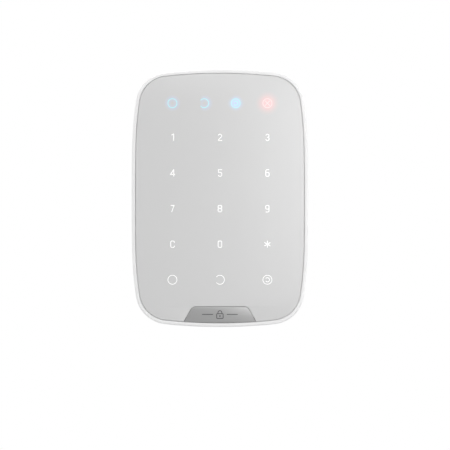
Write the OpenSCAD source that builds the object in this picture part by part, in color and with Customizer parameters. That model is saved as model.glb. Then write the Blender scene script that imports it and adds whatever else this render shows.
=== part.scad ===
// Wall-mounted alarm keypad: a touch panel in a white housing that slides onto a wall bracket.
// X is the width, Z is up, and the front faces -Y. The wall is the plane y = 0.
// The origin is the middle of the four wall-screw holes.

/* [Body] */
// Width of the housing at its middle
body_w = 103; // [101:0.5:106]
// Height of the housing at its middle
body_h = 150; // [148:0.5:153]
// Depth from the wall to the front face
body_d = 14; // [14:0.1:15]
// Radius of the nearly straight middle of each side
side_r = 1850; // [1500:50:2200]
// Radius of the shoulders between each side and its corners
shoulder_r = 226; // [210:1:240]
// Thickness of the housing's side wall
wall = 2.2; // [2:0.1:2.4]

/* [Front panel] */
// Thickness of the touch panel
panel_t = 0.95; // [0.8:0.05:1]
// Width of the white rim around the panel opening
rim_w = 1.95; // [1.7:0.05:2.1]
// Gap between the panel and the rim
panel_gap = 0.28; // [0.2:0.02:0.4]
// How far the panel sits above the housing's middle
panel_rise = 0.2; // [0:0.1:0.4]

/* [Keys] */
// Distance between the key columns
key_dx = 27.7; // [26:0.1:29]
// Distance between the key rows
key_dz = 20.75; // [20:0.05:21.5]
// Height of the top key row above the housing's middle
key_top_z = 35.6; // [34:0.1:37]
// Distance between the status symbols
status_dx = 18.47; // [17:0.01:19]
// Height of the status symbols above the housing's middle
status_z = 55.6; // [54:0.1:57]
// Outer diameter of the ring symbols
ring_d = 5.6; // [5:0.1:6]
// Line width of the numbers
line_w = 0.46; // [0.36:0.02:0.6]
// Line width of the ring symbols
ring_w = 0.36; // [0.3:0.02:0.5]

/* [Wall bracket] */
// Width of the bracket plate
plate_w = 74.2; // [72:0.1:75]
// Height of the bracket plate
plate_h = 126.8; // [124:0.1:127]
// Distance between the wall screws across the bracket
screw_dx = 62; // [58:0.5:63]
// Distance between the wall screws up the bracket
screw_dz = 110; // [106:0.5:111]
// Diameter of the wall-screw holes
screw_hole_d = 4.2; // [3.5:0.1:4.5]
// How far the keypad lifts to come off the hooks
lift = 4; // [3:0.1:4.2]

/* [Power] */
// Diameter of one AAA cell
cell_d = 10.2; // [9.6:0.1:10.2]
// Length of one AAA cell with its button
cell_l = 44.5; // [43.5:0.1:44.5]
// Travel of the power switch knob
switch_travel = 3; // [2:0.1:4]

/* [Hidden] */
$fn = 48;
case_z = -3.8;                  // housing middle, measured from the wall-screw pattern
legend_t = 0.3;                 // depth of the printed symbols in the panel

// Depths, all negative towards the front
front_y = -body_d;
panel_back = front_y + panel_t;
tape_t = 0.15;
ledge_t = 1.0;
ledge_front = panel_back + tape_t;
ledge_back = ledge_front + ledge_t;
mask_front = panel_back + 0.05;
mask_back = mask_front + 0.65;
board_front = mask_back + 0.15;
board_t = 1.0;
board_back = board_front + board_t;
back_y = -0.4;                  // rear edge of the housing, just off the wall
plate_front = -1.7;
plate_back = -0.7;
floor_back = plate_front - 0.15;
floor_t = 0.75;
floor_front = floor_back - floor_t;
cover_skin = 1.2;               // thickness of the cover's border
cell_y = panel_back + 0.1 + cell_d / 2;

// Outline of the housing: four tangent arcs in each quarter, by the direction of their normal
side_a = 0.88;
shoulder_a = 8.11;
corner_a = 83.9;
known_x = body_w / 2 + side_r * (cos(side_a) - 1) + shoulder_r * (cos(shoulder_a) - cos(side_a));
known_z = side_r * sin(side_a) + shoulder_r * (sin(shoulder_a) - sin(side_a));
m11 = cos(corner_a) - cos(shoulder_a);
m12 = -cos(corner_a);
m21 = sin(corner_a) - sin(shoulder_a);
m22 = 1 - sin(corner_a);
det = m11 * m22 - m12 * m21;
corner_r = (-known_x * m22 - (body_h / 2 - known_z) * m12) / det;
end_r = (m11 * (body_h / 2 - known_z) + known_x * m21) / det;
arcs = [[0, side_a, side_r, 2], [side_a, shoulder_a, shoulder_r, 4],
        [shoulder_a, corner_a, corner_r, 13], [corner_a, 90, end_r, 4]];

function arc_end(k, d) = k < 0 ? [body_w / 2 - d, 0]
    : arc_end(k - 1, d) + (arcs[k][2] - d)
      * [cos(arcs[k][1]) - cos(arcs[k][0]), sin(arcs[k][1]) - sin(arcs[k][0])];
function quarter(d) = [for (k = [0:3]) for (i = [0:arcs[k][3] - 1])
    let (a = arcs[k][0] + (arcs[k][1] - arcs[k][0]) * i / arcs[k][3])
    arc_end(k - 1, d) + (arcs[k][2] - d) * [cos(a) - cos(arcs[k][0]), sin(a) - sin(arcs[k][0])]];
// Points of the outline moved inwards by d, anticlockwise from the right-hand side
function outline(d) = let (q = quarter(d), n = len(q), top = arc_end(3, d)) concat(
    q, [top], [for (i = [n - 1:-1:0]) [-q[i][0], q[i][1]]],
    [for (i = [1:n - 1]) [-q[i][0], -q[i][1]]], [[top[0], -top[1]]],
    [for (i = [n - 1:-1:1]) [q[i][0], -q[i][1]]]);

// Places
status_x = [for (i = [0:3]) (i - 1.5) * status_dx];
keys = [for (r = [0:4]) for (c = [0:2]) [(c - 1) * key_dx, key_top_z - r * key_dz]];
wall_screws = [for (x = [-1, 1]) for (z = [-1, 1]) [x * screw_dx / 2, z * screw_dz / 2 - case_z]];
case_screw_x = 42.8;
case_screw_z = [51.4, -50.6];
case_screw_at = [for (x = [-1, 1]) for (z = case_screw_z) [x * case_screw_x, z]];
tray_screw_at = [for (x = [-1, 1]) for (z = [25.2, -37]) [x * 23.5, z]];
cover_posts = [for (x = [-1, 1]) for (z = [24, -24]) [x * 40, z]];
plate_z = 1.2;                  // middle of the bracket plate above the housing's middle
recess_gap = 0.35;
recess_top = plate_z + plate_h / 2 + recess_gap;
recess_bottom = plate_z - plate_h / 2 - lift - 0.6;
hook_x = 30;
hook_z = [34, -36];
hook_w = 6;
hook_t = 1.5;
hook_lip = 3.5;
hook_lip_t = 0.8;
tab_x = 22.7;                   // the breakaway corner runs from here to the plate's edge
tab_z = 52.5;
tab_r = 3;
plunger_at = [24.3, 57];
plunger_r = 1.2;

// Cells and tray
cell_x = 13.85;
spring_l = 5.2;
contact_t = 0.4;
bay_l = 2 * cell_l + spring_l + 2 * contact_t;
bay_z = -6;                     // middle of the cell bays
bay_top = bay_z + bay_l / 2;
bay_bottom = bay_z - bay_l / 2;
bay_half = cell_d / 2 + 0.2;
tray_wall = 1.0;
tray_back = -5;
slot_half = bay_half + tray_wall + 0.3;
slot_end = tray_wall + 0.5;

// Power switch
switch_x = 3.6;
switch_w = 24.6;
switch_top_z = -60;
switch_bottom_z = -67.2;
knob_x = 8;
knob_w = 5.7;
knob_z = -64.4;
knob_h = 3.4;
knob_back = -1.95;
frame_back = -2.75;
frame_t = 0.4;
base_back = -7.6;
stem_w = 2.4;
stem_h = 1.8;
lock_hole_x = -4.5;
lock_hole_y = -2.2;
lock_hole_r = 1.3;

// ---- Shared shapes ----
// Extrudes a flat shape, drawn in X and Z, between two depths measured from the housing's middle
module layer(y0, y1) {
    translate([0, y1, case_z]) rotate([90, 0, 0]) linear_extrude(y1 - y0) children();
}
module shape(d) { polygon(outline(d)); }
// A round bar along Y
module rod(x, z, r, y0, y1) {
    translate([x, y1, z + case_z]) rotate([90, 0, 0]) cylinder(h = y1 - y0, r = r);
}
module block(x0, x1, y0, y1, z0, z1) {
    translate([x0, y0, z0 + case_z]) cube([x1 - x0, y1 - y0, z1 - z0]);
}
module round_rect(w, h, r) {
    polygon([for (k = [0:3]) for (i = [0:6])
        let (a = 90 * k + 15 * i)
        [(k == 0 || k == 3 ? 1 : -1) * (w / 2 - r) + r * cos(a),
         (k < 2 ? 1 : -1) * (h / 2 - r) + r * sin(a)]]);
}
// A rounded edge in nested slices: the outline shrinks by r as the depth goes from y to y + way * r
module rounded_edge(y, r, way) {
    slices = 5;
    for (i = [0:slices - 1]) {
        a = 90 * i / slices;
        b = 90 * (i + 1) / slices;
        far = y + way * r * sin(b);
        layer(min(y - way * r, far), max(y - way * r, far)) shape(r * (1 - cos((a + b) / 2)));
    }
}

// ---- Printed symbols ----
function norm2(v) = v / norm(v);
function arc_path(x, z, r, a0, a1, n = 14) =
    [for (i = [0:n]) let (a = a0 + (a1 - a0) * i / n) [x + r * cos(a), z + r * sin(a)]];
function side_of(p, i) = let (n = len(p) - 1,
    a = norm2(p[min(i + 1, n)] - p[min(i, n - 1)]),
    b = norm2(p[max(i, 1)] - p[max(i - 1, 0)]),
    m = norm2(a + b), c = m * a) [-m[1], m[0]] / c;
// Outline of a line of width w along a path
function ribbon(p, w) = concat([for (i = [0:len(p) - 1]) p[i] + side_of(p, i) * w / 2],
    [for (i = [len(p) - 1:-1:0]) p[i] - side_of(p, i) * w / 2]);
module line(p) { polygon(ribbon(p, line_w)); }
module band(w, h, r) {
    difference() {
        round_rect(w, h, r);
        round_rect(w - 2 * line_w, h - 2 * line_w, r - line_w);
    }
}
module ring(d) {
    difference() {
        circle(d = d);
        circle(d = d - 2 * ring_w);
    }
}
// A ring with a gap on its left
module open_ring(d) { polygon(ribbon(arc_path(0, 0, (d - ring_w) / 2, -142, 142, 28), ring_w)); }
module cross() {
    for (a = [45, -45]) rotate(a) square([ring_d - 4 * ring_w, ring_w], center = true);
}
module star() {
    for (a = [30, 90, 150]) rotate(a) square([4.1, line_w], center = true);
}
// The numbers are about 2.5 wide and 4.2 high, with square shoulders
module six() {
    translate([0.03, -0.78]) band(2.43, 2.63, 0.85);
    line(concat([[1.0, 1.97]], arc_path(-0.2, 1.22, 0.75, 90, 180, 5), [[-0.95, -0.8]]));
}
module digit(n) {
    if (n == 0) band(2.52, 4.2, 0.8);
    if (n == 1) line([[-0.6, 1.42], [0.65, 1.98], [0.65, -2.06]]);
    if (n == 2) line(concat(arc_path(0.04, 0.94, 0.98, 168, -38, 12),
        [[-0.85, -1.3], [-0.9, -1.8], [1.3, -1.8]]));
    if (n == 3) {
        line(arc_path(0.02, 0.99, 0.93, 172, -95, 12));
        line(arc_path(0.03, -0.86, 0.98, 100, -168, 12));
    }
    if (n == 4) {
        line([[0.77, 2.15], [0.77, -2.05]]);
        line([[0.7, 1.95], [-1.15, -0.85], [1.45, -0.85]]);
    }
    if (n == 5) line(concat([[1.25, 1.95], [-0.88, 1.95], [-0.88, 0.36]],
        arc_path(0.3, -0.4, 0.76, 90, 0, 5), arc_path(0.3, -1.12, 0.76, 0, -90, 5),
        arc_path(-0.12, -1.12, 0.76, -90, -175, 5)));
    if (n == 6) six();
    if (n == 7) line([[-1.0, 1.83], [0.95, 1.83], [-0.45, -2.06]]);
    if (n == 8) {
        translate([0, 0.95]) band(2.5, 2.28, 0.75);
        translate([0, -0.9]) band(2.52, 2.34, 0.75);
    }
    if (n == 9) rotate(180) six();
}
module letter_c() {
    line(concat([[1.1, 0.8]], arc_path(0.4, 1.16, 0.7, 0, 90, 5),
        arc_path(-0.28, 1.16, 0.7, 90, 180, 5), arc_path(-0.28, -1.2, 0.7, 180, 270, 5),
        arc_path(0.4, -1.2, 0.7, 270, 360, 5), [[1.1, -0.9]]));
}
// A ring round a smaller open ring
module double_ring() {
    ring(ring_d);
    open_ring(ring_d / 2);
}
module key_symbol(i) {
    if (i < 9) digit(i + 1);
    if (i == 9) letter_c();
    if (i == 10) digit(0);
    if (i == 11) star();
    if (i == 12) ring(ring_d);
    if (i == 13) open_ring(ring_d);
    if (i == 14) double_ring();
}
module status_symbol(i) {
    if (i == 0) ring(ring_d);
    if (i == 1) open_ring(ring_d);
    if (i == 2) double_ring();
    if (i == 3) {
        ring(ring_d);
        cross();
    }
}
module key_prints() {
    for (i = [0:14]) layer(front_y, front_y + legend_t) translate(keys[i]) key_symbol(i);
}
module status_print(i) {
    layer(front_y, front_y + legend_t) translate([status_x[i], status_z]) status_symbol(i);
}

// ---- Outer pieces ----
// The frame: side wall, front rim, ledge for the panel and four screw posts
module front_housing() {
    front_edge = 0.9;
    back_edge = 0.3;
    ledge_w = 2.8;
    post_foot = ledge_front + 0.4;
    post_r = 2.4;
    post_hole_r = 0.85;
    rib_x = [43.5, 48.6];       // each post has a rib to the side wall
    rib_t = 1.2;
    color("white") difference() {
        union() {
            difference() {
                union() {
                    layer(front_y + front_edge, back_y - back_edge) shape(0);
                    rounded_edge(front_y + front_edge, front_edge, -1);
                    rounded_edge(back_y - back_edge, back_edge, 1);
                }
                layer(ledge_back, back_y + 1) shape(wall);
                layer(ledge_front - 1, ledge_back + 1) shape(wall + ledge_w);
                layer(front_y - 1, ledge_front) translate([0, panel_rise]) shape(rim_w);
            }
            for (p = case_screw_at) {
                rod(p[0], p[1], post_r, post_foot, floor_front - 0.1);
                rib = sign(p[0]) * rib_x;
                block(min(rib), max(rib), post_foot, floor_front - 1,
                    p[1] - rib_t / 2, p[1] + rib_t / 2);
            }
        }
        for (p = case_screw_at) rod(p[0], p[1], post_hole_r, -9, 0);
        // hole for the locking screw, up through the bottom wall
        translate([lock_hole_x, lock_hole_y, case_z - body_h / 2 - 1])
            cylinder(h = wall + 2, r = lock_hole_r);
    }
}
module badge_shape(d) {
    corner_r = 3.6;
    corner = corner_r - d;
    slope = 29;                 // of the slanted ends, from the vertical
    top_z = -62.9;
    cx = 14.15;
    cz = top_z - corner_r;
    foot_z = -74;
    right = [for (i = [0:6]) let (a = slope + (90 - slope) * i / 6)
        [cx + corner * cos(a), cz + corner * sin(a)]];
    foot = [right[0][0] + (right[0][1] - foot_z) * tan(slope), foot_z];
    polygon(concat([foot], right, [for (i = [6:-1:0]) [-right[i][0], right[i][1]]],
        [[-foot[0], foot[1]]]));
}
module front_panel() {
    color("silver") difference() {
        layer(front_y, panel_back) difference() {
            translate([0, panel_rise]) shape(rim_w + panel_gap);
            badge_shape(0);
        }
        key_prints();
        for (i = [0:3]) status_print(i);
    }
}
module panel_adhesive() {
    color("dimgray") layer(panel_back, ledge_front) difference() {
        translate([0, panel_rise]) shape(rim_w + panel_gap + 0.1);
        shape(wall + 2.9);
    }
}
// A plain padlock between two short lines
module emblem_print() {
    layer(front_y, front_y + 0.2) translate([0, -67.6]) {
        translate([0, -0.95]) {
            band(4.2, 3.2, 0.6);
            circle(d = 0.9);
        }
        line(concat([[1.15, 0.5]], arc_path(0, 1, 1.15, 0, 180), [[-1.15, 0.5]]));
        for (s = [-1, 1]) translate([s * 7.2, 0]) square([6.4, line_w], center = true);
    }
}
module badge_plate() {
    color("darkgray") difference() {
        layer(front_y, panel_back) intersection() {
            badge_shape(0.2);
            translate([0, panel_rise]) shape(rim_w + panel_gap);
        }
        emblem_print();
    }
}
module badge_emblem() { color("dimgray") emblem_print(); }
module key_legends() { color("white") key_prints(); }
module indicator_disarmed() { color("lightcyan") status_print(0); }
module indicator_night() { color("lightcyan") status_print(1); }
module indicator_armed() { color("lightblue") status_print(2); }
module indicator_fault() { color("mistyrose") status_print(3); }

// The cover: border skin, recess tub for the bracket, screw seats and posts that press on the board
module rear_cover() {
    recess_w = plate_w + 2 * recess_gap;
    recess_h = recess_top - recess_bottom;
    recess_z = (recess_top + recess_bottom) / 2;
    tub = 1.0;                  // thickness of the tub's side walls
    seat_r = 2.7;               // round each case screw, with a well for its head
    well_r = 1.6;
    well_floor = -1.7;
    post_r = 1.6;
    cup_w = 9.4;
    cup_depth = 1.2;
    cup_wall = 0.8;
    guide_half = 2.3;
    color("white") difference() {
        union() {
            difference() {
                layer(floor_front, back_y) shape(wall + 0.15);
                layer(floor_front - 1, back_y - cover_skin) difference() {
                    shape(wall + 0.15 + tub);
                    translate([0, recess_z]) round_rect(recess_w + 2 * tub, recess_h + 2 * tub, 5.5);
                }
            }
            for (p = case_screw_at) rod(p[0], p[1], seat_r, floor_front - 0.05, back_y - 0.5);
            for (p = cover_posts) rod(p[0], p[1], post_r, board_back + 0.05, back_y - 0.5);
            // cups around the heads of the wall screws
            for (p = wall_screws) layer(floor_front - cup_depth - cup_wall, floor_front + 0.3)
                translate([p[0], p[1] - lift / 2])
                    round_rect(cup_w + 2 * cup_wall, cup_w + 2 * cup_wall + lift, cup_w / 2 + 0.7);
            // tube that guides the locking screw through the border
            block(lock_hole_x - guide_half, lock_hole_x + guide_half, floor_front - 1.6, back_y - 0.5,
                -body_h / 2 + wall + 0.6, recess_bottom - 0.5);
        }
        layer(floor_back, 1) translate([0, recess_z]) round_rect(recess_w, recess_h, 5);
        for (p = wall_screws) layer(floor_front - cup_depth, 1)
            translate([p[0], p[1] - lift / 2]) round_rect(cup_w, cup_w + lift, cup_w / 2 - 0.1);
        for (p = case_screw_at) {
            rod(p[0], p[1], well_r, well_floor, 1);
            rod(p[0], p[1], 0.95, -4, 1);
        }
        for (x = [-1, 1]) for (z = hook_z)
            block(x * hook_x - hook_w / 2 - 0.2, x * hook_x + hook_w / 2 + 0.2, floor_front - 1,
                floor_back + 1, z - lift - 0.3, z + hook_t + 0.03);
        rod(plunger_at[0], plunger_at[1], plunger_r + 0.15, -6, 0);
        block(switch_x - switch_w / 2, switch_x + switch_w / 2, -6, floor_back + 1,
            recess_bottom - 0.2, switch_top_z - 0.4);
        translate([lock_hole_x, lock_hole_y, case_z - body_h / 2])
            cylinder(h = body_h / 2 + recess_bottom + 1, r = lock_hole_r);
        label_layer();
    }
}
module label_layer() {
    layer(floor_back - 0.1, floor_back) translate([0, 5]) square([34, 20], center = true);
}
module id_label() { color("gainsboro") label_layer(); }
module case_screws() {
    color("dimgray") for (p = case_screw_at) difference() {
        union() {
            rod(p[0], p[1], 1.45, -1.7, -0.9);
            rod(p[0], p[1], 0.82, -8, -1.7);
        }
        block(p[0] - 0.9, p[0] + 0.9, -1.3, 0, p[1] - 0.18, p[1] + 0.18);
        block(p[0] - 0.18, p[0] + 0.18, -1.3, 0, p[1] - 0.9, p[1] + 0.9);
    }
}

// The wall bracket: plate, screw bosses, hooks and the perforated corner
module mounting_bracket() {
    boss_r = 5.25;
    dish_r = 4.1;               // seat of a wall screw's head
    slit = 0.8;
    top_slit = 4;
    side_slit = 3;
    bridge = 1.3;               // what holds the corner on, between its slits
    color("whitesmoke") difference() {
        union() {
            layer(plate_front, plate_back) translate([0, plate_z]) round_rect(plate_w, plate_h, 5);
            for (p = wall_screws) rod(p[0], p[1], boss_r, plate_front, 0);
            for (x = [-1, 1]) for (z = hook_z) {
                block(x * hook_x - hook_w / 2, x * hook_x + hook_w / 2,
                    floor_front - 0.1 - hook_lip_t, plate_front + 0.3, z, z + hook_t);
                block(x * hook_x - hook_w / 2, x * hook_x + hook_w / 2,
                    floor_front - 0.1 - hook_lip_t, floor_front - 0.1, z, z + hook_t + hook_lip);
            }
        }
        for (p = wall_screws) {
            rod(p[0], p[1], screw_hole_d / 2, plate_front - 1, 1);
            rod(p[0], p[1], dish_r, plate_front - 1, -0.8);
        }
        // slits round the breakaway corner: one open at the top edge, one bent, one open at the side
        corner_top = plate_z + plate_h / 2;
        layer(plate_front - 1, 1) {
            translate([tab_x - slit / 2, corner_top - top_slit]) square([slit, top_slit + 1]);
            polygon(ribbon(concat([[tab_x, corner_top - top_slit - bridge]],
                arc_path(tab_x + tab_r, tab_z + tab_r, tab_r, 180, 270, 8),
                [[plate_w / 2 - side_slit - bridge, tab_z]]), slit));
            translate([plate_w / 2 - side_slit, tab_z - slit / 2]) square([side_slit + 1, slit]);
        }
    }
}

// ---- Electronics ----
// Everything flat inside the housing leaves room for the cells and the screw posts
module inside_shape(d) {
    difference() {
        shape(d);
        for (s = [-1, 1]) translate([s * cell_x, bay_z])
            square([2 * slot_half, bay_l + 2 * slot_end], center = true);
        for (p = case_screw_at) translate([p[0] + sign(p[0]) * 4, p[1]])
            square([14.4, 6], center = true);
    }
}
module light_mask() {
    well_r = ring_d / 2 + 0.4;
    color("white") difference() {
        union() {
            layer(mask_front, mask_back) inside_shape(wall + 3);
            for (p = tray_screw_at) rod(p[0], p[1], 1.7, mask_front, board_back + 0.1);
        }
        for (p = keys) rod(p[0], p[1], well_r, mask_front - 1, mask_back + 1);
        for (x = status_x) rod(x, status_z, well_r, mask_front - 1, mask_back + 1);
        for (p = tray_screw_at) rod(p[0], p[1], 0.75, mask_front + 0.4, 0);
    }
}
module main_board() {
    color("darkgreen") difference() {
        layer(board_front, board_back) inside_shape(wall + 3.4);
        for (p = tray_screw_at) rod(p[0], p[1], 1.85, board_front - 1, board_back + 1);
    }
}
module touch_pads() {
    pad_r = 5.6;
    pad_hole_r = 3.3;
    color("goldenrod") for (p = keys) difference() {
        rod(p[0], p[1], pad_r, board_front - 0.1, board_front);
        rod(p[0], p[1], pad_hole_r, board_front - 1, board_front + 1);
    }
}
module led(p) {
    block(p[0] - 0.8, p[0] + 0.8, board_front - 0.5, board_front, p[1] - 0.4, p[1] + 0.4);
}
module key_leds() { color("ivory") for (p = keys) led(p); }
module indicator_leds() { color("ivory") for (x = status_x) led([x, status_z]); }
module chip(x, z, w, h, t) {
    block(x - w / 2, x + w / 2, board_back, board_back + t, z - h / 2, z + h / 2);
}
module touch_controller() { color("black") chip(32, 12, 7, 7, 0.9); }
module main_processor() { color("black") chip(32, -14, 8, 8, 0.9); }
module radio_shield() {
    at = [-33.6, 8];
    can_w = 14;
    can_h = 2.2;
    sheet = 0.3;
    inner = can_w / 2 - sheet;
    color("silver") difference() {
        chip(at[0], at[1], can_w, can_w, can_h);
        block(at[0] - inner, at[0] + inner, board_back - 1, board_back + can_h - sheet,
            at[1] - inner, at[1] + inner);
    }
}
// A bent steel strip antenna that stands on the board along its top edge
module antenna() {
    z = 64.2;
    x0 = -24;
    strip_l = 38;
    strip_half = 1.6;
    sheet = 0.5;
    rise = 5;
    color("goldenrod") {
        block(x0, x0 + strip_l, board_back + rise - sheet, board_back + rise,
            z - strip_half, z + strip_half);
        for (x = [x0, x0 + 10]) block(x, x + sheet, board_back, board_back + rise - 0.4,
            z - strip_half, z + strip_half);
    }
}
module buzzer() {
    at = [-33, -16];
    can_r = 6.3;
    sound_hole_r = 1;
    color("black") difference() {
        rod(at[0], at[1], can_r, board_back, board_back + 4.2);
        rod(at[0], at[1], sound_hole_r, board_back + 3, board_back + 6);
    }
}
module capacitors() {
    color("darkslategray") for (z = [-38, -47]) rod(-36, z, 3.1, board_back, board_back + 5.8);
}
module tamper_switch() {
    half = 3;
    color("black") difference() {
        block(plunger_at[0] - half, plunger_at[0] + half, board_back, board_back + 5,
            plunger_at[1] - half, plunger_at[1] + half);
        rod(plunger_at[0], plunger_at[1], plunger_r + 0.6, board_back + 1, board_back + 4.2);
        rod(plunger_at[0], plunger_at[1], plunger_r + 0.05, board_back + 4, board_back + 6);
    }
}
module tamper_plunger() {
    color("ivory") {
        rod(plunger_at[0], plunger_at[1], plunger_r, board_back + 2.6, plate_front - 0.06);
        rod(plunger_at[0], plunger_at[1], plunger_r + 0.5, board_back + 2.4, board_back + 3.4);
    }
}
module power_switch_base() {
    color("saddlebrown") block(switch_x - switch_w / 2 + 0.2, switch_x + switch_w / 2 - 0.2,
        board_back, base_back, switch_bottom_z + 0.2, switch_top_z - 0.2);
}
module power_switch_frame() {
    x0 = switch_x - switch_w / 2 + 0.2;
    x1 = switch_x + switch_w / 2 - 0.2;
    color("gray") difference() {
        block(x0, x1, base_back, frame_back, switch_bottom_z + 0.2, switch_top_z - 0.2);
        block(x0 + frame_t, x1 - frame_t, base_back - 1, frame_back - frame_t,
            switch_bottom_z + 0.2 + frame_t, switch_top_z - 0.2 - frame_t);
        block(knob_x - stem_w / 2 - switch_travel - 0.1, knob_x + stem_w / 2 + 0.1,
            frame_back - 1, frame_back + 1, knob_z - stem_h / 2 - 0.1, knob_z + stem_h / 2 + 0.1);
    }
}
module power_switch_knob() {
    color("black") {
        block(knob_x - knob_w / 2, knob_x + knob_w / 2, frame_back + 0.08, knob_back,
            knob_z - knob_h / 2, knob_z + knob_h / 2);
        block(knob_x - stem_w / 2, knob_x + stem_w / 2, frame_back - 2, frame_back + 0.3,
            knob_z - stem_h / 2, knob_z + stem_h / 2);
        block(knob_x - stem_w / 2 - 1, knob_x + stem_w / 2 + 1, base_back + 0.3,
            frame_back - frame_t - 0.4, knob_z - 2, knob_z + 2);
    }
}

// ---- Cells, tray and contacts ----
module cell_bay() {
    square([2 * bay_half, bay_l], center = true);
}
module battery_tray() {
    color("whitesmoke") difference() {
        union() {
            for (s = [-1, 1]) layer(mask_front, tray_back) translate([s * cell_x, bay_z])
                square([2 * (bay_half + tray_wall), bay_l + 2 * tray_wall], center = true);
            layer(board_back + 0.1, board_back + 1.1) translate([0, bay_z])
                square([52, bay_l + 2 * tray_wall - 2], center = true);
        }
        for (s = [-1, 1]) {
            layer(cell_y, tray_back + 1) translate([s * cell_x, bay_z]) cell_bay();
            translate([s * cell_x, cell_y, bay_bottom + case_z]) cylinder(h = bay_l, r = bay_half);
            for (z = [bay_bottom, bay_top - contact_t - 0.1])
                block(s * cell_x - bay_half, s * cell_x + bay_half, mask_front + 0.8, tray_back + 1,
                    z, z + contact_t + 0.1);
        }
        for (p = tray_screw_at) rod(p[0], p[1], 0.85, board_back - 1, board_back + 3);
    }
}
// One cell: up is 1 with its button at the top, or -1 with its button at the bottom
module cell(x, z, up) {
    button_h = 0.9;
    button_r = 1.9;
    translate([x, cell_y, z + case_z]) mirror([0, 0, up > 0 ? 0 : 1]) translate([0, 0, -cell_l / 2]) {
        difference() {
            cylinder(h = cell_l - button_h, r = cell_d / 2);
            translate([0, 0, cell_l - button_h - 0.4]) difference() {
                cylinder(h = 1, r = cell_d / 2 - 0.6);
                translate([0, 0, -1]) cylinder(h = 3, r = 2.6);
            }
        }
        cylinder(h = cell_l, r = button_r);
    }
}
left_low = bay_bottom + contact_t + spring_l + cell_l / 2;
right_low = bay_bottom + contact_t + cell_l / 2;
module battery_1() { color("darkslategray") cell(-cell_x, left_low, 1); }
module battery_2() { color("darkslategray") cell(-cell_x, left_low + cell_l, 1); }
module battery_3() { color("darkslategray") cell(cell_x, right_low, -1); }
module battery_4() { color("darkslategray") cell(cell_x, right_low + cell_l, -1); }
// An upright plate at the end of a bay, up to the tray's rear edge
contact_half = 4.8;
module contact_plate(x) {
    block(x - contact_half, x + contact_half, -11, tray_back + contact_t, 0, contact_t);
}
// A tab that folds over the tray's end wall
module contact_tab(x0, x1, z0, z1) {
    block(x0, x1, tray_back, tray_back + contact_t, z0, z1);
}
module end_contact(x) {
    color("silver") {
        translate([0, 0, bay_bottom]) contact_plate(x);
        contact_tab(x - 1.2, x + 1.2, bay_bottom - tray_wall - 2, bay_bottom + contact_t);
    }
}
module battery_contact_positive() { end_contact(cell_x); }
module battery_contact_negative() { end_contact(-cell_x); }
module battery_link_contact() {
    color("silver") {
        for (s = [-1, 1]) translate([0, 0, bay_top - contact_t]) contact_plate(s * cell_x);
        contact_tab(-cell_x - contact_half, cell_x + contact_half, bay_top - contact_t,
            bay_top + tray_wall);
    }
}
// A conical coil of wire along Z
module coil(r0, r1, h, wire, turns) {
    steps = 14;
    sides = 8;
    n = turns * steps;
    points = [for (i = [0:n]) for (j = [0:sides - 1])
        let (t = i / n, a = 360 * i / steps, b = 360 * j / sides,
             r = r0 + (r1 - r0) * t + wire / 2 * cos(b))
        [r * cos(a), r * sin(a), wire / 2 + (h - wire) * t + wire / 2 * sin(b)]];
    walls = [for (i = [0:n - 1]) for (j = [0:sides - 1])
        let (a = i * sides + j, b = i * sides + (j + 1) % sides) [a, b, b + sides, a + sides]];
    polyhedron(points, concat([[for (j = [0:sides - 1]) j]], walls,
        [[for (j = [sides - 1:-1:0]) n * sides + j]]));
}
module battery_springs() {
    gap = 0.02;                 // at each end of a spring
    base_r = 3.9;
    tip_r = 2.4;
    wire = 0.6;
    color("silver") {
        translate([-cell_x, cell_y, bay_bottom + contact_t + case_z + gap])
            coil(base_r, tip_r, spring_l - 2 * gap, wire, 5);
        translate([cell_x, cell_y, bay_top - contact_t + case_z - gap]) mirror([0, 0, 1])
            coil(base_r, tip_r, spring_l - 2 * gap, wire, 5);
    }
}
module tray_screws() {
    color("gray") for (p = tray_screw_at) {
        rod(p[0], p[1], 1.5, board_back + 1.1, board_back + 1.9);
        rod(p[0], p[1], 0.72, mask_front + 0.6, board_back + 1.15);
    }
}

mounting_bracket();
front_housing();
front_panel();
panel_adhesive();
badge_plate();
badge_emblem();
key_legends();
indicator_disarmed();
indicator_night();
indicator_armed();
indicator_fault();
light_mask();
main_board();
touch_pads();
key_leds();
indicator_leds();
touch_controller();
main_processor();
radio_shield();
antenna();
buzzer();
capacitors();
tamper_switch();
tamper_plunger();
power_switch_base();
power_switch_frame();
power_switch_knob();
battery_tray();
battery_1();
battery_2();
battery_3();
battery_4();
battery_contact_positive();
battery_contact_negative();
battery_link_contact();
battery_springs();
tray_screws();
rear_cover();
case_screws();
id_label();
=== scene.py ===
# Touch keypad for an alarm: a grey panel with lit symbols in a white housing on its wall bracket.
# The file follows the keypad as it is put together, from the housing to the wall bracket.
import math

import bmesh
import bpy
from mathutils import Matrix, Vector
from mathutils.geometry import tessellate_polygon


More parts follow.
